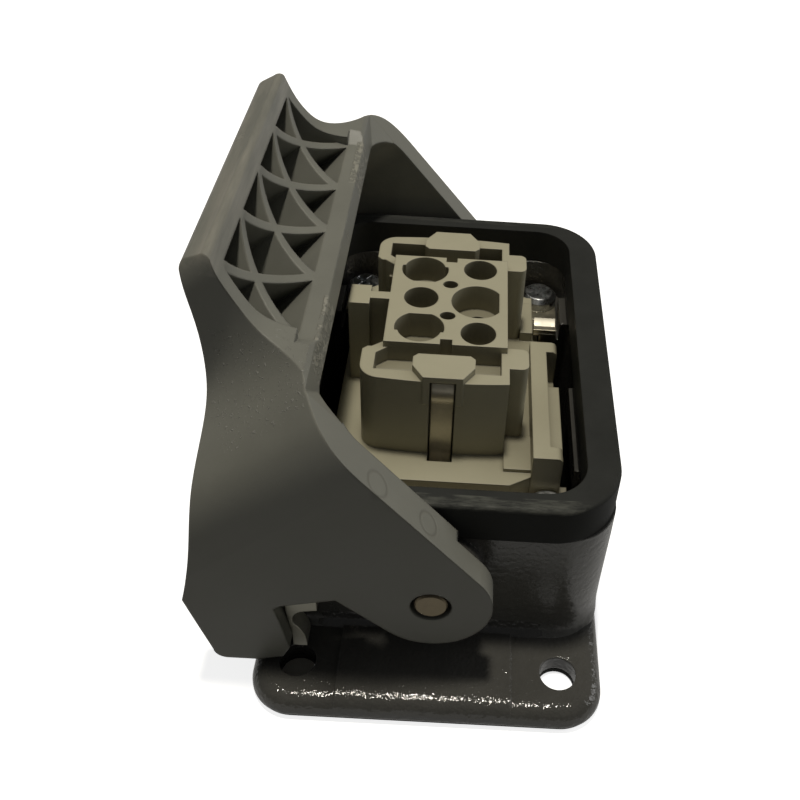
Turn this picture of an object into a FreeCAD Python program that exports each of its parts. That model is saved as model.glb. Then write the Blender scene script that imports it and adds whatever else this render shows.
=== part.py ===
import FreeCAD, Part
import math
import os

# Bulkhead mounting base of a rectangular connector, size 6B, with its locking lever and female insert.
# Frame: millimetres, origin at the centre of the panel face, X across the short side,
# Y along the long side (front is -Y), +Z up out of the panel.
# The lever is drawn parked open, lying to the -X side.

os.makedirs("parts", exist_ok=True)
V = FreeCAD.Vector
X_AXIS = V(1, 0, 0)
Y_AXIS = V(0, 1, 0)
Z_AXIS = V(0, 0, 1)
ENDS = ((-1, "front"), (1, "back"))

# Clearances shared by the fits
seat_gap = 0.3
fine_gap = 0.15
pin_fit = 0.05
pin_run = 0.07

# Flange and its seal
flange_half_x = 21.5
flange_half_y = 41.0
flange_corner = 5.3
flange_top = 3.3
flange_round = 2.2
pad_rise = 0.25
pad_left = -11.0
pad_right = 10.2
pad_round = 2.0
corner_top = flange_top - pad_rise
hole_edge_x = 5.5
hole_edge_y = 6.0
hole_x = flange_half_x - hole_edge_x
hole_y = flange_half_y - hole_edge_y
hole_r = 2.25
seal_t = 0.8
seal_inset = 0.35

# Housing wall
wall_set = 1.1
wall_half_x = flange_half_x - wall_set
wall_half_y = 28.9
wall_corner = 7.6
wall_foot_r = 1.1
wall_foot_mid = 0.38
wall_foot_high = 2.2
wall_side_t = 2.8
wall_end_t = 1.9
cavity_half_x = wall_half_x - wall_side_t
cavity_half_y = wall_half_y - wall_end_t
cavity_corner = 4.6
seal_window_x = cavity_half_x + 1.0
seal_window_y = cavity_half_y + 1.0
collar_out = 0.6
collar_half_x = wall_half_x + collar_out
collar_half_y = wall_half_y + collar_out
collar_corner = wall_corner + collar_out
collar_low = 18.2
collar_full = 19.6
collar_top = 21.65
lip_out_x = wall_half_x + 0.2
lip_out_y = wall_half_y + 0.3
lip_in_x = cavity_half_x + 1.0
lip_in_y = lip_out_y - 0.9
lip_corner = 7.5
lip_in_corner = 5.6
lip_top = 25.0

# Rim gasket
rim_out = 1.1
rim_half_x = wall_half_x + rim_out
rim_half_y = wall_half_y + rim_out
rim_corner = 8.0
rim_open_x = cavity_half_x - 0.2
rim_open_y = cavity_half_y + 0.3
rim_open_corner = 5.0
rim_top = 27.05
rim_round = 0.5

# Pivot
pivot_z = 16.0
boss_r = 6.0
boss_out = 3.2
boss_face = wall_half_y + boss_out
boss_flat = collar_top - seat_gap
arm_inner = rim_half_y + 0.9
arm_outer = boss_face + 3.5
pin_r = 2.0
pin_outer = arm_outer - 0.05
pin_chamfer = 0.25
pin_hole_end = cavity_half_y + 0.5
pin_inner = pin_hole_end + seat_gap

# Screw posts inside the housing
post_x = cavity_half_x - 4.1
post_y = cavity_half_y - 5.0
post_in_x = post_x - 3.9
post_in_y = post_y - 4.2
post_low = 6.0
post_top = 16.5
screw_r = 1.45
screw_hole_r = 1.75
screw_head_r = 2.75
screw_head_t = 2.0
screw_len = 8.5
screw_slot = 0.8
screw_slot_deep = 0.9
screw_cross = 3.4
screw_turn = 35.0
wall_rib_in = cavity_half_x - 1.4
wall_rib_len = 6.6
wall_rib_y1 = cavity_half_y - 6.4
wall_rib_y0 = wall_rib_y1 - wall_rib_len
wall_rib_top = 19.5
ledge_side = 0.6
ledge_y0 = 1.0
ledge_y1 = 16.8
ledge_z = 20.0

# Earth plates
plate_t = 1.0
plate_half_x = cavity_half_x - 1.4
plate_out_y = cavity_half_y - 1.6
plate_corner = 1.5
clamp_head_t = 1.6
clamp_out_y = cavity_half_y - clamp_head_t - 0.6
clamp_deep = 6.6
clamp_in_y = clamp_out_y - clamp_deep
clamp_wire_y = clamp_in_y + 2.4
clamp_half_x = 4.2
clamp_low = 7.5
clamp_wire_r = 1.9
clamp_screw_z = 12.0
clamp_screw_r = 1.8
clamp_head_r = 3.1
clamp_hole_r = clamp_screw_r + seat_gap
arm_in = cavity_half_x - 4.2
arm_out = cavity_half_x - 1.8
arm_end = 12.0
tab_in = cavity_half_x - 5.2
tab_deep = 2.2
tab_low = 18.7
tab_top = 19.7

# Insert
ins_top = 33.4
ins_wing_top = 32.5
ins_flange_top = 20.5
ins_flange_low = post_top + plate_t
ins_low = 1.0
ins_low_x = cavity_half_x - 4.4
ins_low_y = 17.0
plate_in_y = ins_low_y + seat_gap
ins_left = 3.6 - cavity_half_x
ins_right = tab_in - seat_gap
ins_end_room = 6.7
ins_half_y = cavity_half_y - ins_end_room
ins_corner_left = 1.5
ins_corner_x = 3.4
ins_corner_y = 3.4
ins_corner_x_mid = 0.4
ins_corner_y_mid = 1.8
block_left = -7.9
block_right = 7.5
block_half_y = 9.4
notch_left = -0.9
notch_right = 0.6
notch_deep = 1.0
frame_left = -10.4
frame_leg_y = 10.0
frame_right = 7.8
frame_out = 15.2
frame_bow = 15.6
frame_in = 13.6
frame_leg_in = -8.7
frame_wall_in = 6.8
frame_corner = 2.5
leg_step = 0.6
neck_in = 1.1
ledge_out = 11.2
ledge_top = 30.4
cap_in = 11.4
cap_out = 15.75
cap_low = 29.0
cap_half = 3.8
cap_shift = -0.2
cap_slant = 1.4
cap_corner = 0.6
rib_out = ins_right - 1.9
rib_y0 = 8.4
rib_y1 = 12.3
rib_round = 0.9
tee_left = -13.1
tee_neck = -10.4
tee_neck_half = 0.75
tee_half = 2.0
rail_in = cavity_half_x - 6.25
rail_out = cavity_half_x - 2.5
rail_top = 24.1
rail_front = -(post_y - screw_head_r - seat_gap) + 0.05
rail_back = 3.7
rail_step_x = rail_out - 1.55
rail_cut_y0 = -4.75
rail_cut_y1 = 1.6
rail_cut_z = 18.6
rail_step_y = -16.8
rail_step_z = 23.3
rail_round = 0.8
pad_x0 = 7.9
pad_y0 = 12.0
pad_y1 = 18.0
pad_h = 0.5
post2_x1 = ins_right - fine_gap
post2_y0 = 8.2
post2_y1 = 15.3
post2_top = 22.0

# Contact chambers and contacts
col_x = 3.8
row_y = 6.9
bore_r = 2.24
key_r = 2.8
key_wide_r = 3.15
key_x = -3.65
key_top_y = 6.4
key_low_y = -6.3
key_step = 0.75
flat_r = 3.45
flat_x = 3.6
flat_y = -0.3
flat_cut = 6.4
bore_floor = 29.6
entry_r = 1.5
chamber_top = 28.4
pocket_top = 12.5
pocket_in = 0.9
pocket_out = 9.6
pocket_half = 3.0
sight_r = 2.0
dimple_rx = 1.0
dimple_ry = 0.8
dimple_deep = 3.0
dimples = ((-0.1, 3.2), (-0.2, -3.6))
tube_r = 1.9
tube_bore_r = 1.25
tube_bore_deep = 10.0
tube_slit = 0.5
tube_slit_deep = 7.0
term_half = 2.7
term_in = 1.2
term_out = 9.2
term_low = 3.5
term_wire_r = 1.5
term_wire_deep = 7.5
term_screw_z = 7.6
term_screw_r = 1.4
term_hole_r = term_screw_r + fine_gap
term_screw_in = 4.6
term_head_r = 1.75
term_head_t = 0.9
term_slot = 0.45
term_slot_deep = 0.45

# Earth spring strips
slot_left = -1.75
slot_right = 1.4
slot_in = 14.2
slot_out = 16.9
slot_top = 32.6
strip_t = 0.4
strip_in = 14.5
strip_bulge = 0.55
strip_flat_top = 28.6
strip_top = 31.8
strip_foot = 18.6
strip_gap = 0.2

# Lever
arm_end_r = 7.1
recess_r = boss_r + 2.4
recess_face = boss_face + seat_gap
ring_r = 2.4
ring_deep = 1.6
lever_tilt = math.radians(40.0)
lever_foot = flange_top + 0.4
web_low = 27.1
web_corner = 5.5
rim_low = (-14.2, 44.3)
rim_curve = ((-17.1, 44.6), (-19.7, 45.6), (-21.7, 47.8), (-23.3, 50.6), (-24.05, 52.6))
lip_crown = (-24.5, 53.15)
lip_out = (-25.3, 53.0)
grip_out = (-26.8, 52.27)
grip_round = (-27.35, 51.8)
grip_low = (-27.6, 51.0)
back_mid = (-25.9, 34.5)
heel_top = (-28.5, 14.8)
heel_mid = (-27.1, 9.5)
heel_side = (-25.95, 5.3)
heel_round = (-25.45, 4.15)
heel_low = (-24.4, lever_foot)
hook_low = (-20.6, lever_foot)
hook_tip = (-17.6, 4.6)
hook_nose = (-16.7, 6.4)
notch_low = (-17.5, 11.0)
notch_top = (-18.1, 14.0)
notch_roof = (-17.3, 14.6)
notch_right_end = (-10.9, 16.3)
# Flare of the sides: place along the arms, and how far in from the arm's outer face
flare_right = (
    (22.8, 0.15), (24.8, 0.65), (26.8, 1.7), (28.6, 3.4), (29.9, 5.2), (31.3, 7.9), (34.1, 10.6),
    (37.0, 12.1), (40.5, 13.1), (43.6, 13.6), (45.0, 14.5), (45.9, 16.6),
)
flare_left = (
    (24.0, 0.3), (26.0, 0.8), (27.8, 2.0), (29.0, 4.1), (29.9, 7.0), (30.8, 10.0), (32.2, 12.4),
    (34.4, 13.6), (38.5, 14.0), (43.6, 14.1), (45.0, 14.9), (45.9, 16.9),
)
flare_start = 20.0
flare_foot = -23.0
flare_b_right = 9.0
flare_b_left = -9.0
flare_b_end = -30.0
# Pockets behind the lip, drawn square to the arms, with crossed ribs
pocket_lip_top = (-24.4, 54.2)
pocket_lip = (-23.4, 51.0)
pocket_skin_top = (-25.7, 49.1)
pocket_skin_low = (-23.9, 36.3)
pocket_web = (-15.8, 43.1)
strip_ramp = 3.0
strip_rise = 1.7
pocket_a_web = 30.9
pocket_a_lip = 41.9
pocket_lip_y = 19.8
pocket_web_y = 21.7
truss_mid = (-20.9, 46.0)
truss_lip_ys = (-20.0, -10.0, 0.0, 10.0, 20.0)
truss_web_ys = (-21.8, -10.2, 0.0, 10.2, 21.8)
truss_t = 1.2
web_face_top = (-13.9, 44.6)
web_face_low = (-13.0, 40.4)
web_face_y = 25.5
web_face_end = 30.6
web_face_b = 5.0
web_face_b_end = 7.3
web_face_reach = 5.0

# Latch clips
clip_in = arm_inner + 0.2
clip_out = clip_in + 2.5
clip_end_x = -13.5
clip_low = lever_foot + 0.4
clip_side = (-17.25, 11.0)
clip_foot_x = -15.0
clip_bend = ((-15.3, 6.6), (-16.3, 8.3))
clip_throat = ((-16.4, 10.0), (-15.2, 11.0))
clip_arm_z = 11.3
tongue_x0 = -15.8
tongue_x1 = -14.6
tongue_top = 19.0
tongue_in = clip_in + 0.5
tongue_out = clip_out - 0.5


def box(x0, x1, y0, y1, z0, z1):
    size = (abs(x1 - x0), abs(y1 - y0), abs(z1 - z0))
    return Part.makeBox(*size, V(min(x0, x1), min(y0, y1), min(z0, z1)))


def fuse(first, *others):
    return first.multiFuse(list(others)).removeSplitter()


def cyl_z(r, x, y, z0, z1):
    return Part.makeCylinder(r, z1 - z0, V(x, y, z0), Z_AXIS)


def cyl_y(r, x, z, y0, y1):
    return Part.makeCylinder(r, abs(y1 - y0), V(x, min(y0, y1), z), Y_AXIS)


def cyl_x(r, y, z, x0, x1):
    return Part.makeCylinder(r, abs(x1 - x0), V(min(x0, x1), y, z), X_AXIS)


def round_face(hx, hy, r, z):
    wire = round_wire(hx, hy, r, z)
    return Part.Face(wire)


def round_wire(hx, hy, r, z):
    c = r * (1 - math.sqrt(0.5))
    edges = []
    for sx, sy in ((1, 1), (-1, 1), (-1, -1), (1, -1)):
        along_y = V(sx * hx, sy * (hy - r), z)
        along_x = V(sx * (hx - r), sy * hy, z)
        mid = V(sx * (hx - c), sy * (hy - c), z)
        ends = (along_y, along_x) if sx * sy > 0 else (along_x, along_y)
        edges.append(Part.Arc(ends[0], mid, ends[1]).toShape())
    loop = []
    for i, edge in enumerate(edges):
        following = edges[(i + 1) % len(edges)]
        loop.append(edge)
        loop.append(Part.makeLine(edge.Vertexes[-1].Point, following.Vertexes[0].Point))
    return Part.Wire(loop)


def round_block(hx, hy, r, z0, z1):
    return round_face(hx, hy, r, z0).extrude(V(0, 0, z1 - z0))


def outline(place, start, steps):
    # A step is a point for a line, two points for an arc, more for a smooth curve
    edges = []
    here = start
    for step in steps:
        if isinstance(step[0], (int, float)):
            edges.append(Part.makeLine(place(*here), place(*step)))
            here = step
        elif len(step) == 2:
            edges.append(Part.Arc(place(*here), place(*step[0]), place(*step[1])).toShape())
            here = step[1]
        else:
            curve = Part.BSplineCurve()
            curve.interpolate([place(*here)] + [place(*p) for p in step])
            edges.append(curve.toShape())
            here = step[-1]
    return Part.Wire(edges)


def in_xz(x, z):
    return V(x, -arm_outer, z)


def in_xy(z):
    return lambda x, y: V(x, y, z)


def prism_xy(points, z0, z1):
    wire = outline(in_xy(z0), points[0], list(points[1:]) + [points[0]])
    return Part.Face(wire).extrude(V(0, 0, z1 - z0))


def prism_xz(points, y0, y1):
    place = lambda x, z: V(x, y0, z)
    wire = outline(place, points[0], list(points[1:]) + [points[0]])
    return Part.Face(wire).extrude(V(0, y1 - y0, 0))


def mirror_y(shape):
    return shape.mirror(V(0, 0, 0), Y_AXIS)


def both_ends(shape):
    return (shape, mirror_y(shape))


def slotted_screw(head_r, head_t, shank_r, length, slot, slot_deep, reach):
    # Head seated on z = 0, shank downward, its edge bevelled by a third of its height
    rise = head_t / 3
    head = fuse(cyl_z(head_r, 0, 0, 0, head_t - rise),
                Part.makeCone(head_r, head_r - rise, rise, V(0, 0, head_t - rise), Z_AXIS))
    shank = cyl_z(shank_r, 0, 0, -length, 0)
    cut = box(-reach / 2, reach / 2, -slot / 2, slot / 2, head_t - slot_deep, head_t + 1)
    return fuse(head, shank).cut(cut)


def save(name, shape):
    shape.exportStep(os.path.join("parts", name + ".step"))


def rounded_slab(top, radius):
    slab = round_block(flange_half_x, flange_half_y, flange_corner, seal_t, top)
    crown = [e for e in slab.Edges if e.BoundBox.ZMin > top - 1e-6]
    return slab.makeFillet(radius, crown)


# Housing: cast flange with a raised middle, walls, collar, pivot bosses and screw posts
def make_housing():
    flange = rounded_slab(flange_top, flange_round).common(
        box(pad_left, pad_right, -flange_half_y, flange_half_y, 0, flange_top))
    corners = rounded_slab(corner_top, pad_round)
    wall = round_block(wall_half_x, wall_half_y, wall_corner, seal_t, collar_full)
    foot_mid_r = wall_foot_r * wall_foot_mid
    foot_steps = []
    for out, rise in ((wall_foot_r, 0), (foot_mid_r, wall_foot_high * wall_foot_mid), (0, wall_foot_high)):
        level = corner_top + rise
        foot_steps.append(round_wire(wall_half_x + out, wall_half_y + out, wall_corner + out, level))
    foot = Part.makeLoft(foot_steps[:2], True, True)
    foot_upper = Part.makeLoft(foot_steps[1:], True, True)
    flare = Part.makeLoft([
        round_wire(wall_half_x, wall_half_y, wall_corner, collar_low),
        round_wire(collar_half_x, collar_half_y, collar_corner, collar_full),
    ], True, True)
    collar = round_block(collar_half_x, collar_half_y, collar_corner, collar_full, collar_top)
    lip = round_block(lip_out_x, lip_out_y, lip_corner, collar_top, lip_top)
    boss = cyl_y(boss_r, 0, pivot_z, wall_half_y - 1, boss_face)
    boss = boss.cut(box(-boss_r, boss_r, 0, boss_face + 1, boss_flat, boss_flat + boss_r))
    bosses = both_ends(boss)
    shape = fuse(flange, corners, wall, foot, foot_upper, flare, collar, lip, *bosses)
    cavity = round_block(cavity_half_x, cavity_half_y, cavity_corner, 0, collar_top)
    lip_cut = round_block(lip_in_x, lip_in_y, lip_in_corner, collar_top, lip_top + 1)
    shape = shape.cut(cavity).cut(lip_cut)
    inside = round_block(cavity_half_x, cavity_half_y, cavity_corner, post_low, wall_rib_top)
    added = []
    for sx in (-1, 1):
        side = sx * cavity_half_x
        for sy in (-1, 1):
            post = box(sx * post_in_x, side, sy * post_in_y, sy * cavity_half_y, post_low, post_top)
            added.append(post.common(inside))
        added.append(box(sx * wall_rib_in, side, wall_rib_y0, wall_rib_y1, post_low, wall_rib_top))
        added.append(box(side - sx * ledge_side, side, -ledge_y1, -ledge_y0, post_top, ledge_z))
    shape = fuse(shape, *added)
    cuts = []
    for sx in (-1, 1):
        for sy in (-1, 1):
            cuts.append(cyl_z(hole_r, sx * hole_x, sy * hole_y, 0, flange_top + 1))
            cuts.append(cyl_z(screw_hole_r, sx * post_x, sy * post_y, post_top - screw_len - 1, post_top + 1))
        # The rib stops short of the earth plate
        cuts.append(box(sx * (wall_rib_in - 1), sx * (plate_half_x + seat_gap), wall_rib_y0, wall_rib_y1 + 1,
                        post_top, wall_rib_top + 1))
    for sy, _ in ENDS:
        cuts.append(cyl_y(pin_r + pin_fit, 0, pivot_z, sy * pin_hole_end, sy * (boss_face + 1)))
    return shape.cut(Part.makeCompound(cuts))


# Flat seal between flange and panel
def make_seal():
    hx = flange_half_x - seal_inset
    hy = flange_half_y - seal_inset
    seal = round_block(hx, hy, flange_corner - seal_inset, 0, seal_t)
    seal = seal.cut(round_block(seal_window_x, seal_window_y, cavity_corner, -1, seal_t + 1))
    holes = [
        cyl_z(hole_r, sx * hole_x, sy * hole_y, -1, seal_t + 1)
        for sx in (-1, 1) for sy in (-1, 1)
    ]
    return seal.cut(Part.makeCompound(holes))


# Rubber rim that caps the wall and seals against the hood
def make_rim():
    rim = round_block(rim_half_x, rim_half_y, rim_corner, collar_top, rim_top)
    crown = [e for e in rim.Edges if e.BoundBox.ZMin > rim_top - 1e-6]
    rim = rim.makeFillet(rim_round, crown)
    rim = rim.cut(round_block(rim_open_x, rim_open_y, rim_open_corner, collar_top - 1, rim_top + 1))
    g = seat_gap
    groove = round_block(lip_out_x + g, lip_out_y + g, lip_corner + g, collar_top - 1, lip_top)
    core = round_block(lip_in_x - g, lip_in_y - g, lip_in_corner - g, collar_top - 2, lip_top + 1)
    return rim.cut(groove.cut(core))


# Steel pivot pin at one end
def make_pin(sy):
    pin = Part.makeCylinder(pin_r, pin_outer - pin_inner, V(0, pin_inner, pivot_z), Y_AXIS)
    ends = [e for e in pin.Edges if e.BoundBox.YLength < 1e-6]
    pin = pin.makeChamfer(pin_chamfer, ends)
    return pin if sy > 0 else mirror_y(pin)


# Lever frame: a runs along the arms away from the pivot, b across them to the upper right
def in_lever(a, b, y):
    x = -math.sin(lever_tilt) * a + math.cos(lever_tilt) * b
    z = math.cos(lever_tilt) * a + math.sin(lever_tilt) * b
    return V(x, y, pivot_z + z)


def tangent_point(px, pz, side):
    # Point where the line from (px, pz) touches the round arm end
    dist = math.hypot(px, pz - pivot_z)
    base = math.atan2(pz - pivot_z, px)
    swing = math.acos(arm_end_r / dist)
    return (arm_end_r * math.cos(base + side * swing), pivot_z + arm_end_r * math.sin(base + side * swing))


def prism_b(points, b0, b1):
    # Outline in the plane of the lever, places (a, y), extruded square to it
    wire = outline(lambda a, y: in_lever(a, b0, y), points[0], list(points[1:]) + [points[0]])
    return Part.Face(wire).extrude(in_lever(0, b1, 0) - in_lever(0, b0, 0))


def flare_wire(points, b):
    half = [in_lever(a, b, arm_outer - inset) for a, inset in ((flare_start, 0),) + points]
    curve = Part.BSplineCurve()
    curve.interpolate(half)
    right = curve.toShape()
    mirrored = [V(p.x, -p.y, p.z) for p in half]
    other = Part.BSplineCurve()
    other.interpolate(list(reversed(mirrored)))
    left = other.toShape()
    foot_r = in_lever(flare_foot, b, arm_outer)
    foot_l = in_lever(flare_foot, b, -arm_outer)
    edges = [
        Part.makeLine(foot_r, half[0]),
        right,
        Part.makeLine(half[-1], mirrored[-1]),
        left,
        Part.makeLine(mirrored[0], foot_l),
        Part.makeLine(foot_l, foot_r),
    ]
    return Part.Wire(edges)


def lever_side():
    bump_b = in_lever(0, arm_end_r, 0)
    end_right = (bump_b.x, bump_b.z)
    end_low = tangent_point(notch_right_end[0], notch_right_end[1], 1)
    far = (arm_end_r * math.cos(-math.pi / 4), pivot_z + arm_end_r * math.sin(-math.pi / 4))
    steps = [
        rim_low,
        rim_curve,
        (lip_crown, lip_out),
        grip_out,
        (grip_round, grip_low),
        (back_mid, heel_top),
        (heel_mid, heel_side),
        (heel_round, heel_low),
        hook_low,
        hook_tip,
        hook_nose,
        notch_low,
        notch_top,
        notch_roof,
        notch_right_end,
        end_low,
        (far, end_right),
    ]
    wire = outline(in_xz, end_right, steps)
    return Part.Face(wire).extrude(V(0, 2 * arm_outer, 0))


def truss_bar(lip_y, web_y):
    length = math.hypot(pocket_a_lip - pocket_a_web, lip_y - web_y)
    along_a = (pocket_a_lip - pocket_a_web) / length * truss_t / 2
    along_y = (lip_y - web_y) / length * truss_t / 2
    return prism_b([
        (pocket_a_web - along_a - along_y, web_y - along_y + along_a),
        (pocket_a_web - along_a + along_y, web_y - along_y - along_a),
        (pocket_a_lip + along_a + along_y, lip_y + along_y - along_a),
        (pocket_a_lip + along_a - along_y, lip_y + along_y + along_a),
    ], -web_low, web_low)


def grip_pockets():
    roof = pocket_lip_top[1] + 2
    hollow = prism_xz([pocket_lip_top, pocket_lip, pocket_skin_top, pocket_skin_low, pocket_web,
                       (pocket_web[0], roof), (pocket_lip_top[0], roof)], -pocket_web_y, pocket_web_y)
    half = [(pocket_a_web - 1, pocket_web_y), (pocket_a_web, pocket_web_y), (pocket_a_lip, pocket_lip_y),
            (pocket_a_lip * 2, pocket_lip_y)]
    plan = prism_b([(a, -y) for a, y in half] + list(reversed(half)), -web_low, web_low)
    over_bars = prism_xz([pocket_lip, (truss_mid, pocket_web), (pocket_web[0], roof),
                          (pocket_lip_top[0], roof), pocket_lip_top], -pocket_web_y, pocket_web_y)
    bars = []
    for i in range(len(truss_lip_ys) - 1):
        bars.append(truss_bar(truss_lip_ys[i], truss_web_ys[i + 1]).cut(over_bars))
        bars.append(truss_bar(truss_lip_ys[i + 1], truss_web_ys[i]).cut(over_bars))
    return hollow.common(plan).cut(Part.makeCompound(bars))


def strip_cut():
    # Lowers the band between pockets and web face, with a ramp at each end
    low = pocket_web[1]
    roof = pocket_lip_top[1]
    wire = outline(lambda y, z: V(pocket_web[0], y, z), (-pocket_web_y, low), [
        (pocket_web_y, low),
        (pocket_web_y + strip_ramp, low + strip_rise),
        (pocket_web_y + strip_ramp, roof),
        (-pocket_web_y - strip_ramp, roof),
        (-pocket_web_y - strip_ramp, low + strip_rise),
        (-pocket_web_y, low),
    ])
    return Part.Face(wire).extrude(V(-pocket_web[0], 0, 0))


def web_face_cut():
    # Sets the face of the web back between the arms and fades out towards them
    top = web_face_top
    low = web_face_low
    far_x = top[0] + web_face_reach
    wedge = prism_xz([top, low, (low[0] + 2, low[1] - 2), (far_x, low[1]), (far_x, top[1] + 1)],
                     -web_face_end, web_face_end)
    wire = outline(lambda b, y: in_lever(0, b, y), (web_face_b, -web_face_y), [
        (web_face_b_end, -web_face_end),
        (web_face_b_end * 2, -web_face_end),
        (web_face_b_end * 2, web_face_end),
        (web_face_b_end, web_face_end),
        (web_face_b, web_face_y),
        (web_face_b, -web_face_y),
    ])
    return wedge.common(Part.Face(wire).extrude(in_lever(web_low * 2, 0, 0) - in_lever(0, 0, 0)))


def lever_inside():
    low = -web_low
    h = arm_inner
    c = web_corner * (1 - math.sqrt(0.5))
    return prism_b([
        (low, -h),
        (web_low - web_corner, -h),
        ((web_low - c, -h + c), (web_low, -h + web_corner)),
        (web_low, h - web_corner),
        ((web_low - c, h - c), (web_low - web_corner, h)),
        (low, h),
    ], -2 * web_low, 2 * web_low)


def make_lever():
    loft = Part.makeLoft([
        flare_wire(flare_right, flare_b_right),
        flare_wire(flare_left, flare_b_left),
        flare_wire(flare_left, flare_b_end),
    ], True, True)
    lever = lever_side().common(loft)
    lever = lever.cut(lever_inside())
    lever = lever.cut(web_face_cut())
    lever = lever.cut(strip_cut())
    lever = lever.cut(grip_pockets())
    cuts = []
    for sy, _ in ENDS:
        cuts.append(cyl_y(recess_r, 0, pivot_z, sy * (arm_inner - 1), sy * recess_face))
        cuts.append(cyl_y(pin_r + pin_run, 0, pivot_z, sy * arm_inner, sy * arm_outer))
        cuts.append(cyl_y(ring_r, 0, pivot_z, sy * (arm_outer - ring_deep), sy * (arm_outer + 1)))
        cuts.append(box(tongue_x0 - fine_gap, tongue_x1 + fine_gap, sy * (tongue_in - fine_gap),
                        sy * (tongue_out + fine_gap), notch_top[1], tongue_top + fine_gap))
    return lever.cut(Part.makeCompound(cuts))


def roof_z(x):
    slope = (notch_right_end[1] - notch_roof[1]) / (notch_right_end[0] - notch_roof[0])
    return notch_roof[1] + slope * (x - notch_roof[0])


# Bent clip that lines the hook notch, held by a tongue in the arm
def make_clip(sy):
    x_left = notch_roof[0]
    low_x = hook_nose[0]
    section = [
        (clip_end_x, roof_z(clip_end_x)),
        (x_left, roof_z(x_left)),
        clip_side,
        (low_x, hook_nose[1]),
        (low_x, clip_low),
        (clip_foot_x, clip_low),
        clip_bend,
        clip_throat,
        (clip_end_x, clip_arm_z),
    ]
    place = lambda x, z: V(x, clip_in, z)
    wire = outline(place, section[0], section[1:] + [section[0]])
    clip = Part.Face(wire).extrude(V(0, clip_out - clip_in, 0))
    tongue = box(tongue_x0, tongue_x1, tongue_in, tongue_out, notch_top[1] - 1, tongue_top)
    clip = fuse(clip, tongue)
    return clip if sy > 0 else mirror_y(clip)


# Earth plate under one end of the insert, with its wire clamp
def make_plate(sy):
    plate = box(-plate_half_x, plate_half_x, plate_in_y, plate_out_y, post_top, post_top + plate_t)
    upright = [e for e in plate.Edges if e.BoundBox.ZLength > plate_t / 2]
    plate = plate.makeFillet(plate_corner, [e for e in upright if e.BoundBox.YMin > plate_in_y + 1])
    clamp = box(-clamp_half_x, clamp_half_x, clamp_in_y, clamp_out_y, clamp_low, post_top)
    shape = fuse(plate, clamp)
    if sy > 0:
        arm = box(arm_in, arm_out, arm_end, plate_in_y, post_top, post_top + plate_t)
        riser = box(arm_in, arm_out, arm_end, arm_end + plate_t, post_top, tab_low)
        tab = box(tab_in, arm_out, arm_end, arm_end + tab_deep, tab_low, tab_top)
        shape = fuse(shape, arm, riser, tab)
    cuts = [
        cyl_z(clamp_wire_r, 0, clamp_wire_y, clamp_low - 1, post_top - plate_t),
        cyl_y(clamp_hole_r, 0, clamp_screw_z, clamp_wire_y, clamp_out_y + 1),
    ]
    for sx in (-1, 1):
        cuts.append(cyl_z(screw_hole_r, sx * post_x, post_y, post_top - 1, post_top + plate_t + 1))
    shape = shape.cut(Part.makeCompound(cuts))
    return shape if sy > 0 else mirror_y(shape)


# Leaf spring of the earth contact, standing in the end slot of the insert
def make_strip(sy):
    y0 = strip_in
    y1 = strip_in + strip_t
    low = ins_flange_low
    mid_z = (strip_flat_top + strip_top) / 2
    place = lambda y, z: V(slot_left + strip_gap, y, z)
    wire = outline(place, (y0, low), [
        (y0, strip_flat_top),
        ((y0 + strip_bulge, mid_z), (y0, strip_top)),
        (y1, strip_top),
        ((y1 + strip_bulge, mid_z), (y1, strip_flat_top)),
        (y1, low + strip_t),
        (strip_foot, low + strip_t),
        (strip_foot, low),
        (y0, low),
    ])
    strip = Part.Face(wire).extrude(V(slot_right - slot_left - 2 * strip_gap, 0, 0))
    return strip if sy > 0 else mirror_y(strip)


# One end frame of the insert, drawn at the back
def end_frame():
    low = ins_flange_top - pad_h
    c = frame_corner * (1 - math.sqrt(0.5))
    d = rib_round * (1 - math.sqrt(0.5))
    left = frame_left
    leg = frame_leg_y
    corner_in = (left, frame_out - frame_corner)
    corner_mid = (left + c, frame_out - c)
    corner_out = (left + frame_corner, frame_out)
    wire = outline(in_xy(low), (frame_leg_in, leg - leg_step), [
        (left + leg_step, leg - leg_step),
        (left, leg),
        corner_in,
        (corner_mid, corner_out),
        ((0, frame_bow), (frame_right, frame_out)),
        (frame_right, rib_y1),
        (rib_out - rib_round, rib_y1),
        ((rib_out - d, rib_y1 - d), (rib_out, rib_y1 - rib_round)),
        (rib_out, rib_y0 + rib_round),
        ((rib_out - d, rib_y0 + d), (rib_out - rib_round, rib_y0)),
        (frame_wall_in, rib_y0),
        (frame_wall_in, frame_in),
        (frame_leg_in, frame_in),
        (frame_leg_in, leg - leg_step),
    ])
    frame = Part.Face(wire).extrude(V(0, 0, ins_wing_top - low))
    link = prism_xy([(frame_leg_in - leg_step, leg - leg_step), (block_left, block_half_y - neck_in),
                     (block_left + leg_step, block_half_y), (frame_leg_in, leg + leg_step)],
                    low, ins_wing_top)
    cap_side = [(cap_half - cap_corner, cap_in), (cap_half, cap_in + cap_corner), (cap_half, frame_in),
                (cap_half - cap_slant, cap_out)]
    cap = prism_xy(cap_side + [(-x, y) for x, y in reversed(cap_side)], cap_low, ins_top)
    cap.translate(V(cap_shift, 0, 0))
    ledge = box(frame_leg_in, frame_wall_in, block_half_y - 1, ledge_out, low, ledge_top)
    return fuse(frame, link, cap, ledge)


def key_bore(x, y):
    # Round bore with a wider part towards the end of the row
    side = 1 if y > 0 else -1
    round_part = cyl_z(key_r, x, y, bore_floor, ins_top + 1)
    wide = cyl_z(key_wide_r, x, y, bore_floor, ins_top + 1)
    limit = box(x - key_wide_r, x + key_wide_r, y - side * key_r, y + side * key_step,
                bore_floor, ins_top + 1)
    return [round_part, wide.common(limit)]


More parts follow.
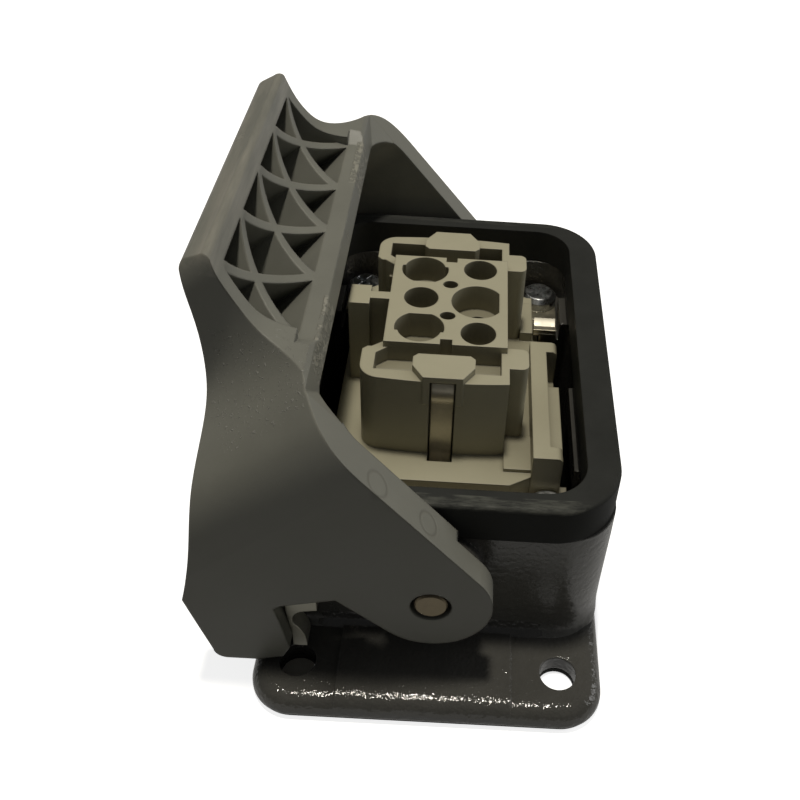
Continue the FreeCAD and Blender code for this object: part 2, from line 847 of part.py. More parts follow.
def contact_places():
    return [(sx * col_x, sy * row_y) for sy in (1, 0, -1) for sx in (-1, 1)]


def corner_outline(left, right, half_y):
    mid_x = right - ins_corner_x_mid
    mid_y = half_y - ins_corner_y_mid
    in_x = right - ins_corner_x
    in_y = half_y - ins_corner_y
    cut = ins_corner_left
    return [(left, -half_y + cut), (left + cut, -half_y), (in_x, -half_y), (mid_x, -mid_y), (right, -in_y),
            (right, in_y), (mid_x, mid_y), (in_x, half_y), (left + cut, half_y), (left, half_y - cut)]


# Moulded insert body with its guide frames, rail and contact bores
def make_insert():
    plate = prism_xy(corner_outline(ins_left, ins_right, ins_half_y), ins_flange_low, ins_flange_top)
    block = box(block_left, block_right, -block_half_y, block_half_y, ins_flange_low, ins_top)
    tee = [
        box(tee_neck - 1, block_left, -tee_neck_half, tee_neck_half, ins_flange_low, ins_top),
        box(tee_left, tee_neck, -tee_half, tee_half, ins_flange_low, ins_top),
    ]
    rail = box(rail_in, rail_out, rail_front, rail_back, ins_flange_low, rail_top)
    tops = [e for e in rail.Edges if e.BoundBox.ZMin > rail_top - 1e-6]
    rail = rail.makeFillet(rail_round, [e for e in tops if e.BoundBox.XMin > rail_in + 1])
    rail = rail.cut(box(rail_step_x, rail_out + 1, rail_cut_y0, rail_cut_y1, rail_cut_z, rail_top + 1))
    rail = rail.cut(box(rail_step_x, rail_out + 1, rail_step_y, rail_cut_y0, rail_step_z, rail_top + 1))
    post = box(rib_out, post2_x1, post2_y0, post2_y1, ins_flange_low, post2_top)
    pads = both_ends(box(pad_x0, ins_right, pad_y0, pad_y1, ins_flange_low, ins_flange_top + pad_h))
    body = fuse(plate, block, rail, post, *tee, *pads, *both_ends(end_frame()))
    return body.cut(Part.makeCompound(insert_cuts()))


# Lower moulding of the insert, which holds the clamp ends of the contacts
def make_carrier():
    carrier = box(-ins_low_x, ins_low_x, -ins_low_y, ins_low_y, ins_low, ins_flange_low)
    cuts = []
    for x, y in contact_places():
        side = 1 if x > 0 else -1
        cuts.append(cyl_z(bore_r, x, y, pocket_top - 1, ins_flange_low + 1))
        cuts.append(box(side * pocket_in, side * pocket_out, y - pocket_half, y + pocket_half,
                        ins_low - 1, pocket_top))
        cuts.append(cyl_x(sight_r, y, term_screw_z, side * (pocket_out - 1), side * (ins_low_x + 1)))
    return carrier.cut(Part.makeCompound(cuts))


def insert_cuts():
    cuts = []
    foot_top = ins_flange_low + strip_t + strip_gap
    for sy in (-1, 1):
        for sx in (-1, 1):
            head_room = screw_head_r + seat_gap
            cuts.append(cyl_z(head_room, sx * post_x, sy * post_y, ins_flange_low - 1, ins_top))
        cuts.append(box(notch_left, notch_right, sy * (block_half_y - notch_deep), sy * (block_half_y + 1),
                        ledge_top, ins_top + 1))
        cuts.append(box(slot_left, slot_right, sy * slot_in, sy * slot_out, ins_flange_low - 1, slot_top))
        cuts.append(box(slot_left, slot_right, sy * slot_in, sy * (strip_foot + strip_gap),
                        ins_flange_low - 1, foot_top))
    for x, y in dimples:
        ring = Part.Ellipse(V(x, y, ins_top - dimple_deep), dimple_rx, dimple_ry).toShape()
        cuts.append(Part.Face(Part.Wire([ring])).extrude(V(0, 0, dimple_deep + 1)))
    for x, y in contact_places():
        cuts.append(cyl_z(entry_r, x, y, chamber_top - 1, bore_floor + 1))
        cuts.append(cyl_z(bore_r, x, y, ins_flange_low - 1, chamber_top))
    for x, y in ((col_x, row_y), (-col_x, 0), (col_x, -row_y)):
        cuts.append(cyl_z(bore_r, x, y, bore_floor, ins_top + 1))
    cuts += key_bore(key_x, key_top_y)
    cuts += key_bore(key_x, key_low_y)
    wide = cyl_z(flat_r, flat_x, flat_y, bore_floor, ins_top + 1)
    cuts.append(wide.common(box(flat_x - flat_r, flat_cut, flat_y - flat_r, flat_y + flat_r,
                                bore_floor, ins_top + 1)))
    return cuts


# Socket contact: slit tube above a wire clamp block
def make_contact(x, y):
    side = 1 if x > 0 else -1
    block = box(side * term_in, side * term_out, y - term_half, y + term_half, term_low, pocket_top)
    tube = cyl_z(tube_r, x, y, pocket_top - 1, chamber_top - seat_gap)
    shape = fuse(block, tube)
    top = chamber_top - seat_gap
    cuts = [
        cyl_z(tube_bore_r, x, y, top - tube_bore_deep, top + 1),
        box(x - tube_r - 1, x + tube_r + 1, y - tube_slit / 2, y + tube_slit / 2,
            top - tube_slit_deep, top + 1),
        cyl_z(term_wire_r, x, y, term_low - 1, term_low + term_wire_deep),
        cyl_x(term_hole_r, y, term_screw_z, x, side * (term_out + 1)),
    ]
    return shape.cut(Part.makeCompound(cuts))


def terminal_screws():
    screws = []
    for x, y in contact_places():
        side = 1 if x > 0 else -1
        length = term_out - term_screw_in
        screw = slotted_screw(term_head_r, term_head_t, term_screw_r, length, term_slot, term_slot_deep,
                              term_head_r * 2)
        screw.rotate(V(0, 0, 0), Y_AXIS, side * 90)
        screw.translate(V(side * term_out, y, term_screw_z))
        screws.append(screw)
    return Part.makeCompound(screws)


def fixing_screws():
    screws = []
    for sx in (-1, 1):
        for sy in (-1, 1):
            screw = slotted_screw(screw_head_r, screw_head_t, screw_r, screw_len, screw_slot, screw_slot_deep,
                                  screw_cross)
            # Second slot of the cross recess
            screw = screw.cut(box(-screw_slot / 2, screw_slot / 2, -screw_cross / 2, screw_cross / 2,
                                  screw_head_t - screw_slot_deep, screw_head_t + 1))
            screw.rotate(V(0, 0, 0), Z_AXIS, screw_turn * sx)
            screw.translate(V(sx * post_x, sy * post_y, post_top + plate_t))
            screws.append(screw)
    return Part.makeCompound(screws)


def earth_screws():
    screws = []
    for sy, _ in ENDS:
        length = clamp_out_y - clamp_wire_y - clamp_wire_r * 0.5
        screw = slotted_screw(clamp_head_r, clamp_head_t, clamp_screw_r, length, screw_slot, screw_slot_deep,
                              clamp_head_r * 2)
        screw.rotate(V(0, 0, 0), X_AXIS, -90 * sy)
        screw.translate(V(0, sy * clamp_out_y, clamp_screw_z))
        screws.append(screw)
    return Part.makeCompound(screws)


save("housing_base", make_housing())
save("flange_seal", make_seal())
save("rim_gasket", make_rim())
save("locking_lever", make_lever())
for sy, name in ENDS:
    save("latch_clip_" + name, make_clip(sy))
    save("pivot_pin_" + name, make_pin(sy))
    save("earth_plate_" + name, make_plate(sy))
    save("earth_spring_" + name, make_strip(sy))
save("insert_body", make_insert())
save("insert_carrier", make_carrier())
for number, (x, y) in enumerate(contact_places(), 1):
    save("contact_" + str(number), make_contact(x, y))
save("terminal_screws", terminal_screws())
save("fixing_screws", fixing_screws())
save("earth_screws", earth_screws())
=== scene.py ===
import bmesh
import bpy
import math
from mathutils import Matrix, Vector


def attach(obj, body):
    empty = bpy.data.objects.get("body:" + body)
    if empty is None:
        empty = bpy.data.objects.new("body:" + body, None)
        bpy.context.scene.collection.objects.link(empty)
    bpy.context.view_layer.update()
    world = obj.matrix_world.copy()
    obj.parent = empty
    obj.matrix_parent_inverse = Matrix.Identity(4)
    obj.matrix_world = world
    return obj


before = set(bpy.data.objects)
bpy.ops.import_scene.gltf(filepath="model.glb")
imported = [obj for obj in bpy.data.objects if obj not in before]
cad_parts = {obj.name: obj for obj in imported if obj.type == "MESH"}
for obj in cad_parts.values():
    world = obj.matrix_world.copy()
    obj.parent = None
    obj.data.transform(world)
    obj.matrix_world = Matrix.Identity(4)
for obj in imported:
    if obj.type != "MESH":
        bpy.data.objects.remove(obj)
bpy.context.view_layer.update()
MM = 0.001

# Camera: stands in front of the connector's short end and looks down at it, as in the photo.
# Lens, shift, place and turn come from matching the photo's outlines.
photo_px = 800
sensor_mm = 36.0
focal_px = 989.58
centre_px = (473.52, 356.53)
clip_near = 0.005
camera_data = bpy.data.cameras.new("camera")
camera_data.sensor_width = sensor_mm
camera_data.lens = sensor_mm * focal_px / photo_px
camera_data.shift_x = (photo_px / 2 - centre_px[0]) / photo_px
camera_data.shift_y = (centre_px[1] - photo_px / 2) / photo_px
camera_data.clip_start = clip_near
camera = bpy.data.objects.new("camera", camera_data)
bpy.context.scene.collection.objects.link(camera)
camera_mm = Vector((1.297, -103.652, 110.742))
yaw = math.radians(1.248)
pitch = math.radians(39.967)
roll = math.radians(4.185)
forward = Vector((math.sin(yaw) * math.cos(pitch), math.cos(yaw) * math.cos(pitch), -math.sin(pitch)))
right = Vector((math.cos(yaw), -math.sin(yaw), 0.0))
up = right.cross(forward)
right_rolled = math.cos(roll) * right + math.sin(roll) * up
up_rolled = -math.sin(roll) * right + math.cos(roll) * up
turn = Matrix((right_rolled, up_rolled, -forward)).transposed().to_4x4()
camera.matrix_world = Matrix.Translation(camera_mm * MM) @ turn
bpy.context.scene.camera = camera
bpy.context.scene.view_settings.view_transform = "Standard"


# Floor: plain white paper that the part stands on. The camera and glossy paint see it white, and it
# throws little light back, so upright faces stay as dark as in the photo. Under the housing it is in
# shade: nearly black below the cavity, and dim grey below the left flange hole.
def linear(code):
    values = [int(code[i:i + 2], 16) / 255 for i in (0, 2, 4)]
    return tuple([v / 12.92 if v <= 0.04045 else ((v + 0.055) / 1.055) ** 2.4 for v in values] + [1.0])


def add(tree, kind, inputs=None, **settings):
    made = tree.nodes.new("ShaderNode" + kind)
    for key, value in settings.items():
        setattr(made, key, value)
    for key, value in (inputs or {}).items():
        if isinstance(value, bpy.types.NodeSocket):
            tree.links.new(value, made.inputs[key])
        else:
            made.inputs[key].default_value = value
    return made


def new_material(name):
    material = bpy.data.materials.new(name)
    material.use_nodes = True
    material.node_tree.nodes.clear()
    return material, material.node_tree


def new_object(name, shape):
    mesh = bpy.data.meshes.new(name)
    shape.to_mesh(mesh)
    shape.free()
    made = bpy.data.objects.new(name, mesh)
    bpy.context.scene.collection.objects.link(made)
    return made


# 1 inside a box given by its middle and half sizes in millimetres, fading to 0 over its last tenth.
def inside_box(tree, place, middle, half):
    away = add(tree, "VectorMath", {0: place, 1: [v * MM for v in middle]}, operation="SUBTRACT")
    size = add(tree, "VectorMath", {0: away.outputs[0]}, operation="ABSOLUTE")
    share = add(tree, "VectorMath", {0: size.outputs[0], 1: [v * MM for v in half]}, operation="DIVIDE")
    axis = add(tree, "SeparateXYZ", {0: share.outputs[0]})
    most = add(tree, "Math", {0: axis.outputs[0], 1: axis.outputs[1]}, operation="MAXIMUM")
    most = add(tree, "Math", {0: most.outputs[0], 1: axis.outputs[2]}, operation="MAXIMUM")
    return add(tree, "MapRange", {"Value": most.outputs[0], 1: 0.9, 2: 1.0, 3: 1.0, 4: 0.0}).outputs[0]


floor_half = 3.0
floor_drop = 0.0002
paper_glow = 0.82
paper_mirrored = 0.5
cavity_middle, cavity_half = (0, 0, 0), (22.2, 33.0, 1)
hole_middle, hole_half = (-17.5, -31.5, 0), (3.5, 4.5, 1)
shape = bmesh.new()
bmesh.ops.create_grid(shape, x_segments=1, y_segments=1, size=floor_half)
floor = new_object("floor", shape)
floor.location.z = -floor_drop
floor_material, tree = new_material("white_paper")
place = add(tree, "TexCoord").outputs["Object"]
# Painted shade: below the cavity the paper is painted nearly black and below the left flange hole dim grey, and there
# its glow and its reflection are taken away.
below_cavity = inside_box(tree, place, cavity_middle, cavity_half)
below_hole = inside_box(tree, place, hole_middle, hole_half)
painted_shade_share = add(tree, "Math", {0: below_cavity, 1: below_hole}, operation="MAXIMUM")
open_share = add(tree, "Math", {0: 1.0, 1: painted_shade_share.outputs[0]}, operation="SUBTRACT")
glow_power = add(tree, "Math", {0: open_share.outputs[0], 1: paper_glow}, operation="MULTIPLY")
tone = add(tree, "Mix", {0: painted_shade_share.outputs[0], 6: linear("F4F4F2"), 7: linear("1C1B19")}, data_type="RGBA")
tone = add(tree, "Mix", {0: below_hole, 6: tone.outputs[2], 7: linear("C4BFB4")}, data_type="RGBA")
paper = add(tree, "BsdfDiffuse", {"Color": tone.outputs[2]})
glow = add(tree, "Emission", {"Color": linear("FFFFFF"), "Strength": glow_power.outputs[0]})
both = add(tree, "AddShader", {0: paper.outputs[0], 1: glow.outputs[0]})
mirrored_power = add(tree, "Math", {0: open_share.outputs[0], 1: paper_mirrored}, operation="MULTIPLY")
mirrored = add(tree, "Emission", {"Color": linear("FFFDF8"), "Strength": mirrored_power.outputs[0]})
unseen = add(tree, "BsdfDiffuse", {"Color": linear("6A6862")})
path = add(tree, "LightPath")
bounced = add(tree, "MixShader", {0: path.outputs["Is Glossy Ray"], 1: unseen.outputs[0], 2: mirrored.outputs[0]})
chosen = add(tree, "MixShader", {0: path.outputs["Is Camera Ray"], 1: bounced.outputs[0], 2: both.outputs[0]})
add(tree, "OutputMaterial", {"Surface": chosen.outputs[0]})
floor.data.materials.append(floor_material)

# Light: one small warm lamp straight overhead, a weak one from the right, and a dim even fill from the
# room. The camera sees the room white.
fill_strength = 0.115
world = bpy.data.worlds.new("studio")
bpy.context.scene.world = world
world.use_nodes = True
tree = world.node_tree
tree.nodes.clear()
path = add(tree, "LightPath")
fill = add(tree, "Background", {"Color": linear("D2D4D6"), "Strength": fill_strength})
white = add(tree, "Background", {"Color": linear("FFFFFF"), "Strength": 1.0})
chosen = add(tree, "MixShader", {0: path.outputs["Is Camera Ray"], 1: fill.outputs[0], 2: white.outputs[0]})
add(tree, "OutputWorld", {"Surface": chosen.outputs[0]})


def lamp(name, place, aim, width, power, colour):
    data = bpy.data.lights.new(name, "AREA")
    data.shape = "SQUARE"
    data.size = width
    data.energy = power
    data.color = linear(colour)[:3]
    made = bpy.data.objects.new(name, data)
    made.location = place
    made.rotation_euler = (Vector(aim) - Vector(place)).to_track_quat("-Z", "Y").to_euler()
    bpy.context.scene.collection.objects.link(made)
    return made


lamp_aim = (0, 0, 0.02)
top_lamp = lamp("top_lamp", place=(-0.03, 0.03, 0.9), aim=lamp_aim, width=0.08, power=3.7, colour="FFF9EC")
side_lamp = lamp("side_lamp", place=(0.6, 0.12, 0.25), aim=lamp_aim, width=0.3, power=0.6, colour="FFFFFF")


# Housing: aluminium, cast with its flange, pivot bosses and screw posts in one piece, and coated with
# thick grey powder paint. Its pebbled gloss breaks the lamp into sparks, and painted shade darkens its hollows.
def dress(material, *names):
    for name in names:
        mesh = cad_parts[name].data
        mesh.materials.clear()
        mesh.materials.append(material)


# Finish of the housing and, with other values, of every piece: mottled colour, grain, soft edges, painted
# shade in hollows, and wear, and at stated places raised marks, ring marks and rubbed streaks. Lengths are in
# millimetres, and grain_deep is the grain's height. The grain is drawn a little coarser than real so that it shows.
def finish_of(name, colour, rough, rough_swing=0.1, mottle_mm=6.0, mottle=0.06, grain_mm=0.4, grain_deep=0.01,
              edge_mm=0.25, hollow_shade="", hollow_shade_mm=2.0, hollow_shade_share=0.5, wear="", wear_share=0.3, metallic=0.0,
              specular=0.5, marks=(), rubbed=(), rings=()):
    material, tree = new_material(name)
    place = add(tree, "TexCoord").outputs["Object"]
    # Where each effect sets in and where it is full, read from noise, from the open air round a point, or
    # from how far the softened edge leans off its face.
    noise_low, noise_high = 0.3, 0.7
    open_air, deep_hollow = 0.9, 0.35
    flat_face, sharp_edge = 0.995, 0.93
    patch_low, patch_high, patch_least = 0.42, 0.6, 0.15
    streak_low, streak_high = 0.4, 0.64
    mark_fade, mark_tall = 0.08, 20.0
    ring_strong, ring_deep = 0.5, -12.0
    rubbed_rough = 0.3
    edge_samples = 6
    broad = add(tree, "TexNoise", {"Vector": place, "Scale": 1 / (mottle_mm * MM), "Detail": 6.0, "Roughness": 0.65})
    fine = add(tree, "TexNoise", {"Vector": place, "Scale": 1 / (grain_mm * MM), "Detail": 2.0, "Roughness": 0.5})
    base = linear(colour)
    dark = tuple([c * (1 - mottle) for c in base[:3]] + [1.0])
    light = tuple([min(1.0, c * (1 + mottle)) for c in base[:3]] + [1.0])
    spread = add(tree, "MapRange", {"Value": broad.outputs["Fac"], 1: noise_low, 2: noise_high, 3: 0.0, 4: 1.0})
    shade = add(tree, "Mix", {0: spread.outputs[0], 6: dark, 7: light}, data_type="RGBA").outputs[2]
    height = fine.outputs["Fac"]
    # Painted shade: the colour darkens where little open air is round a point, in hollows, corners and between parts.
    if hollow_shade:
        hollow = add(tree, "AmbientOcclusion", {"Distance": hollow_shade_mm * MM}, samples=edge_samples)
        deep = add(tree, "MapRange", {"Value": hollow.outputs["AO"], 1: open_air, 2: deep_hollow,
                                      3: 0.0, 4: hollow_shade_share})
        shade = add(tree, "Mix", {0: deep.outputs[0], 6: shade, 7: linear(hollow_shade)}, data_type="RGBA").outputs[2]
    soft = add(tree, "Bevel", {"Radius": edge_mm * MM}, samples=edge_samples)
    if wear:
        flat = add(tree, "NewGeometry")
        match = add(tree, "VectorMath", {0: soft.outputs[0], 1: flat.outputs["Normal"]}, operation="DOT_PRODUCT")
        edge = add(tree, "MapRange", {"Value": match.outputs["Value"], 1: flat_face, 2: sharp_edge,
                                      3: 0.0, 4: 1.0})
        patch = add(tree, "MapRange", {"Value": broad.outputs["Fac"], 1: patch_low, 2: patch_high,
                                       3: patch_least, 4: 1.0})
        share = add(tree, "Math", {0: edge.outputs[0], 1: patch.outputs[0]}, operation="MULTIPLY")
        share = add(tree, "Math", {0: share.outputs[0], 1: wear_share}, operation="MULTIPLY")
        shade = add(tree, "Mix", {0: share.outputs[0], 6: shade, 7: linear(wear)}, data_type="RGBA").outputs[2]
    for middle, half, mark_mm, mark_colour, strong, start in marks:
        crumbs = add(tree, "TexNoise", {"Vector": place, "Scale": 1 / (mark_mm * MM), "Detail": 3.0, "Roughness": 0.7})
        raised = add(tree, "MapRange", {"Value": crumbs.outputs["Fac"], 1: start, 2: start + mark_fade,
                                        3: 0.0, 4: strong})
        here = add(tree, "Math", {0: raised.outputs[0], 1: inside_box(tree, place, middle, half)},
                   operation="MULTIPLY")
        shade = add(tree, "Mix", {0: here.outputs[0], 6: shade, 7: linear(mark_colour)}, data_type="RGBA").outputs[2]
        tall = add(tree, "Math", {0: here.outputs[0], 1: mark_tall}, operation="MULTIPLY")
        height = add(tree, "Math", {0: height, 1: tall.outputs[0]}, operation="ADD").outputs[0]
    for middle, radius, width, ring_colour in rings:
        away = add(tree, "VectorMath", {0: place, 1: [v * MM for v in middle]}, operation="DISTANCE")
        off = add(tree, "Math", {0: away.outputs["Value"], 1: radius * MM}, operation="SUBTRACT")
        off = add(tree, "Math", {0: off.outputs[0]}, operation="ABSOLUTE")
        line = add(tree, "MapRange", {"Value": off.outputs[0], 1: 0.0, 2: width * MM, 3: ring_strong, 4: 0.0})
        shade = add(tree, "Mix", {0: line.outputs[0], 6: shade, 7: linear(ring_colour)}, data_type="RGBA").outputs[2]
        sunk = add(tree, "Math", {0: line.outputs[0], 1: ring_deep}, operation="MULTIPLY")
        height = add(tree, "Math", {0: height, 1: sunk.outputs[0]}, operation="ADD").outputs[0]
    gloss = add(tree, "MapRange", {"Value": broad.outputs["Fac"], 1: noise_low, 2: noise_high,
                                   3: rough - rough_swing, 4: rough + rough_swing}).outputs[0]
    for middle, half, streak_mm, streak_colour, stretch in rubbed:
        drawn = add(tree, "VectorMath", {0: place, 1: stretch}, operation="MULTIPLY")
        streak = add(tree, "TexNoise", {"Vector": drawn.outputs[0], "Scale": 1 / (streak_mm * MM), "Detail": 4.0,
                                        "Roughness": 0.7})
        thin = add(tree, "MapRange", {"Value": streak.outputs["Fac"], 1: streak_low, 2: streak_high,
                                      3: 0.0, 4: 1.0})
        here = add(tree, "Math", {0: thin.outputs[0], 1: inside_box(tree, place, middle, half)},
                   operation="MULTIPLY").outputs[0]
        shade = add(tree, "Mix", {0: here, 6: shade, 7: linear(streak_colour)}, data_type="RGBA").outputs[2]
        gloss = add(tree, "Mix", {0: here, 2: gloss, 3: rubbed_rough}).outputs[0]
    bump = add(tree, "Bump", {"Strength": 1.0, "Distance": grain_deep * MM, "Height": height,
                              "Normal": soft.outputs[0]})
    shader = add(tree, "BsdfPrincipled", {"Base Color": shade, "Roughness": gloss, "Metallic": metallic,
                                          "Normal": bump.outputs[0], "Specular IOR Level": specular})
    add(tree, "OutputMaterial", {"Surface": shader.outputs[0]})
    return material


casting = finish_of("painted_casting", "53524E", 0.1, rough_swing=0.02, mottle_mm=5.0, mottle=0.1, grain_mm=0.55,
                    grain_deep=0.12, edge_mm=0.35, hollow_shade="1E1D1A", hollow_shade_mm=3.0, hollow_shade_share=0.4,
                    wear="6F6D66", wear_share=0.3, specular=0.6)
dress(casting, "housing_base")


# Outer face of the housing's walls: part of the same casting, painted with it. On the long sides it is
# flush with flange and gasket, and at the ends it draws in a little towards the foot and flares out on it.
# A ring extruded up level by level, bedded in the solid wall and closed at the back.
def rounded_loop(shape, half_x, half_y, corner, z, steps):
    flat = bmesh.ops.create_grid(shape, x_segments=1, y_segments=1, size=1.0)["verts"]
    bmesh.ops.scale(shape, verts=flat, vec=(half_x * MM, half_y * MM, 1.0))
    bmesh.ops.translate(shape, verts=flat, vec=(0, 0, z * MM))
    face = flat[0].link_faces[0]
    cut = bmesh.ops.bevel(shape, geom=flat + list(face.edges), offset=corner * MM, offset_type="OFFSET",
                          segments=steps, profile=0.5, affect="VERTICES", material=-1)
    outline = [edge for edge in shape.edges if edge.verts[0] in cut["verts"] and edge.verts[1] in cut["verts"]]
    bmesh.ops.delete(shape, geom=[edge.link_faces[0] for edge in outline[:1]], context="FACES_ONLY")
    return outline


def move_on(shape, outline, rise, stretch_x, stretch_y):
    grown = bmesh.ops.extrude_edge_only(shape, edges=outline)["geom"]
    moved = [part for part in grown if isinstance(part, bmesh.types.BMVert)]
    bmesh.ops.translate(shape, verts=moved, vec=(0, 0, rise * MM))
    bmesh.ops.scale(shape, verts=moved, vec=(stretch_x, stretch_y, 1.0))
    return [part for part in grown if isinstance(part, bmesh.types.BMEdge)
            and part.verts[0] in moved and part.verts[1] in moved]


# Half lengths along y at each height: the flare on the foot, then the slight draft outwards to the top.
skin_half_x = 21.49
skin_low = 0.85
skin_top = 21.6
skin_corner = 6.6
skin_steps = 12
inner_half_x = 19.4
inner_half_y = 27.9
skin_ends = ((skin_low, 30.6), (2.9, 30.2), (3.2, 29.75), (3.7, 29.35), (4.5, 29.05), (5.5, 28.93), (8.0, 28.93),
             (18.0, 29.53), (skin_top, 29.53))
levels = [(z, skin_half_x, half_y) for z, half_y in skin_ends]
levels += [(skin_top, inner_half_x, inner_half_y), (skin_low, inner_half_x, inner_half_y), levels[0]]
shape = bmesh.new()
outline = rounded_loop(shape, skin_half_x, skin_ends[0][1], skin_corner, skin_low, skin_steps)
for (z_before, x_before, y_before), (z, half_x, half_y) in zip(levels, levels[1:]):
    outline = move_on(shape, outline, z - z_before, half_x / x_before, half_y / y_before)
bmesh.ops.remove_doubles(shape, verts=shape.verts, dist=0.001 * MM)
bmesh.ops.recalc_face_normals(shape, faces=shape.faces)
skin = new_object("housing_skin", shape)
for polygon in skin.data.polygons:
    polygon.use_smooth = True
skin.data.set_sharp_from_angle(angle=math.radians(30))
# The same powder paint on upright faces: duller than on the flange, and its colour painted a little paler
# as painted light where the overhead lamp hardly reaches upright faces. Painted shade darkens its hollows.
skin.data.materials.append(finish_of("painted_casting_side", "666560", 0.27, rough_swing=0.05, mottle_mm=5.0,
                                     mottle=0.12, grain_mm=0.8, grain_deep=0.085, edge_mm=0.35, hollow_shade="1E1D1A",
                                     hollow_shade_mm=3.0, hollow_shade_share=0.4, wear="6F6D66", wear_share=0.3, specular=0.5))
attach(skin, "base")


# Flange seal and rim gasket: black rubber, moulded, the one clamped under the flange and the other pressed
# over the walls' rim. Dull, with the rim's top rubbed grey along both ends where hoods have slid over it.

# A rub: its middle, half size, streak in millimetres, colour, and how the streaks are drawn out.
front_rub = ((0, -29.1, 26.9), (18, 0.95, 0.5), 0.8, "60615B", (0.2, 1, 1))
back_rub = ((0, 29.1, 26.9), (18, 0.5, 0.5), 0.7, "4A4B47", (0.2, 1, 1))
rubber = finish_of("moulded_rubber", "3A3B39", 0.55, rough_swing=0.08, mottle_mm=7.0, mottle=0.12, grain_mm=0.5,
                   grain_deep=0.008, edge_mm=0.35, wear="4C4D49", wear_share=0.3, specular=0.06,
                   rubbed=(front_rub, back_rub))
dress(rubber, "flange_seal", "rim_gasket")

# Locking lever: one moulding of grey glass filled polyamide, hung on the pivot pins. It has a fine grain, pale
# specks painted on the front arm's bulge as the lamp's sparkling highlight, rough flash along the web's top
# edge, the rings of two ejector pins on the front arm, and a grip that hands have worn paler. Painted shade
# darkens its hollows.

# A mark: its middle, half size, grain in millimetres, colour, strength, and the noise where it starts.
back_flash = ((-13.5, 16.8, 42.2), (1.0, 5.5, 1.7), 0.9, "A9A79B", 0.9, 0.46)
front_flash = ((-13.1, -20.0, 41.2), (1.0, 6.5, 2.2), 0.9, "A9A79B", 0.9, 0.46)
web_scratch = ((-13.3, 1.0, 41.6), (0.6, 0.9, 1.0), 0.5, "A5A397", 0.5, 0.48)
# Painted highlight: pale raised specks on the front arm's bulge stand in for the lamp's sparkle there.
painted_bulge_sparkle = ((-19.5, -27.0, 40.0), (6.0, 5.0, 5.0), 0.45, "C0BFB8", 0.5, 0.6)
grip_scratch = ((-26.8, 4.3, 52.2), (0.8, 1.0, 0.7), 0.7, "B4B1A4", 0.5, 0.46)
hand_rub = ((-26.2, 0.0, 52.4), (2.8, 31.0, 1.6), 2.5, "9E9B90", (1, 0.12, 1))
# A ring: its middle, radius and width in millimetres, and colour.
upper_ring = ((-6.07, -34.04, 34.47), 1.5, 0.3, "6E6C63")
lower_ring = ((-0.69, -33.4, 27.97), 1.4, 0.3, "6E6C63")
lever_plastic = finish_of("lever_plastic", "88887F", 0.42, rough_swing=0.06, mottle_mm=9.0, mottle=0.06,
                          grain_mm=0.3, grain_deep=0.006, edge_mm=0.4, hollow_shade="45433C", hollow_shade_mm=2.5,
                          hollow_shade_share=0.25, wear="A3A195", specular=0.4,
                          marks=(back_flash, front_flash, web_scratch, painted_bulge_sparkle, grip_scratch),
                          rubbed=(hand_rub,), rings=(upper_ring, lower_ring))
dress(lever_plastic, "locking_lever")

# Insert: two mouldings of pebble grey polycarbonate, the contact block with its end frames and the
# carrier below it, screwed into the housing. Satin, with painted shade darkening its slots and corners.
cream = finish_of("cream_plastic", "C0BBA1", 0.45, rough_swing=0.05, mottle_mm=10.0, mottle=0.035, grain_mm=0.3,
                  grain_deep=0.004, edge_mm=0.3, hollow_shade="463D2A", hollow_shade_mm=6.0, hollow_shade_share=0.5,
                  wear="CFC9B0", wear_share=0.3, specular=0.45)
dress(cream, "insert_body", "insert_carrier")

# Pivot pins: turned steel dowels pressed into the housing's end walls, which the lever swings on.
# Dulled, and faintly brown on the end faces.
# Painted shade darkens the pins close to the housing faces round them.
steel = finish_of("dull_steel", "766C58", 0.42, mottle_mm=1.5, mottle=0.2, grain_mm=0.25, grain_deep=0.01,
                  edge_mm=0.15, metallic=0.9, hollow_shade="2A241B", hollow_shade_mm=0.8)
dress(steel, "pivot_pin_front", "pivot_pin_back")

# Latch clips: stainless steel strip, bent round the hook notch of each arm, where it holds the hood's
# peg. Satin from rolling.
strip = finish_of("stainless_strip", "B5B3A4", 0.4, mottle_mm=3.0, mottle=0.08, grain_mm=0.2, grain_deep=0.004,
                  edge_mm=0.2, metallic=0.5)
dress(strip, "latch_clip_front", "latch_clip_back")

# Earth plates and leaf springs: strip, stamped, bent and nickel plated. The plates lie under the insert's
# ends, and each spring stands in the slot of an end frame. Bright, with soft handling marks, and the
# springs a little duller.
nickel = finish_of("bright_nickel", "D8D0B8", 0.36, mottle_mm=2.0, mottle=0.06, grain_mm=0.7, grain_deep=0.012,
                   edge_mm=0.2, metallic=1.0, rough_swing=0.08)
dress(nickel, "earth_plate_front", "earth_plate_back")
spring_nickel = finish_of("spring_nickel", "DAD2BC", 0.34, mottle_mm=2.0, mottle=0.08, grain_mm=0.6, grain_deep=0.008,
                          edge_mm=0.2, metallic=0.5, rough_swing=0.06)
dress(spring_nickel, "earth_spring_front", "earth_spring_back")

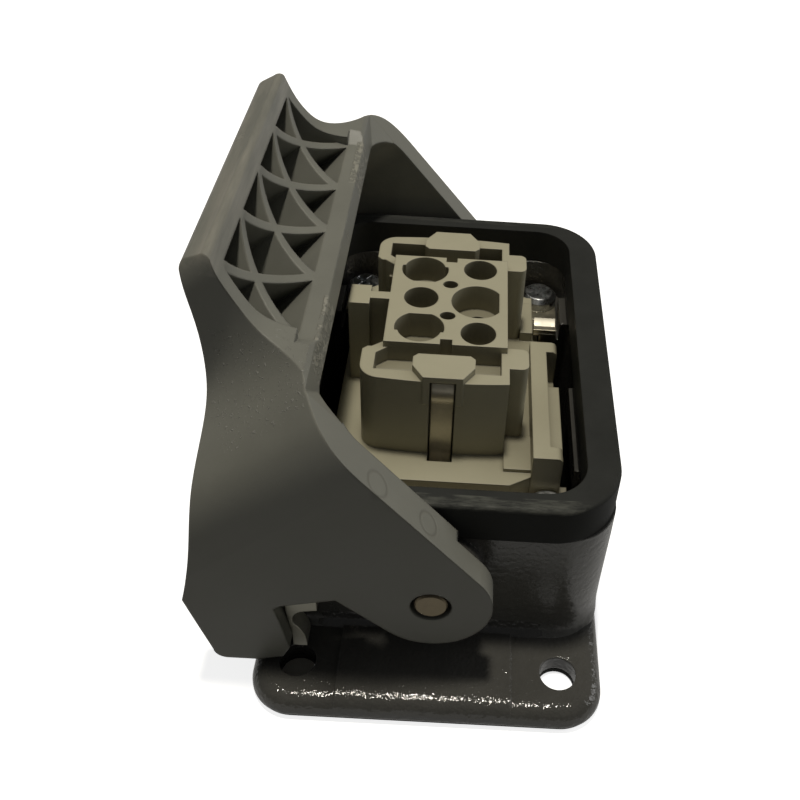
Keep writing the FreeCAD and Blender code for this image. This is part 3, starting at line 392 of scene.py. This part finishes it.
# Crown of the back earth plate's tab: the end of that strip, nickel plated and curled down towards the
# front, where it catches the lamp. Its cross section is spun round the curl's axis.
curl_y = 15.304
curl_z = 15.47
curl_radius = 4.855
curl_start = math.radians(11.93)
curl_sweep = math.radians(31.77)
curl_steps = 8
tab_left = 12.5
tab_right = 15.7
tab_thick = 0.35
curl_axis = Vector((0, curl_y, curl_z)) * MM
shape = bmesh.new()
flat = bmesh.ops.create_grid(shape, x_segments=1, y_segments=1, size=0.5)["verts"]
bmesh.ops.scale(shape, verts=flat, vec=((tab_right - tab_left) * MM, tab_thick * MM, 1.0))
bmesh.ops.rotate(shape, verts=flat, matrix=Matrix.Rotation(math.radians(90), 3, "X"))
bmesh.ops.translate(shape, verts=flat, vec=Vector(((tab_left + tab_right) / 2, curl_y,
                                                   curl_z + curl_radius - tab_thick / 2)) * MM)
bmesh.ops.rotate(shape, verts=flat, cent=curl_axis, matrix=Matrix.Rotation(curl_start, 3, "X"))
bmesh.ops.spin(shape, geom=shape.verts[:] + shape.edges[:] + shape.faces[:], cent=curl_axis, axis=(1, 0, 0),
               angle=curl_sweep, steps=curl_steps, use_merge=False)
bmesh.ops.recalc_face_normals(shape, faces=shape.faces)
tab = new_object("earth_tab_crown", shape)
for polygon in tab.data.polygons:
    polygon.use_smooth = True
tab.data.set_sharp_from_angle(angle=math.radians(30))
# Painted highlight: its nickel is painted paler than the plate's and partly diffuse, so the lamp lights the crown as
# bright as its reflection.
tab.data.materials.append(finish_of("satin_nickel", "F0EAD8", 0.42, mottle_mm=2.0, mottle=0.05, grain_mm=0.5,
                                    grain_deep=0.006, edge_mm=0.15, metallic=0.35))
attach(tab, "base")

# Screws: steel with cross slots, cold headed and zinc plated. Four hold the insert in the housing, two
# the earth wires, and six the wires in the contacts. Bright but lumpy, from plating and driving.
zinc = finish_of("zinc_plate", "C6C8C8", 0.32, mottle_mm=1.2, mottle=0.2, grain_mm=0.9, grain_deep=0.09,
                 edge_mm=0.25, metallic=1.0)
dress(zinc, "fixing_screws", "earth_screws", "terminal_screws")

# Socket contacts: turned copper alloy sleeves, slit and silver plated, snapped into the insert's bores.
# Bright at the bottom of the bores.
silver = finish_of("silver_plate", "CFCDC4", 0.3, mottle_mm=1.5, mottle=0.08, grain_mm=0.2, grain_deep=0.003,
                   edge_mm=0.1, metallic=1.0)
dress(silver, *["contact_" + str(i) for i in range(1, 7)])
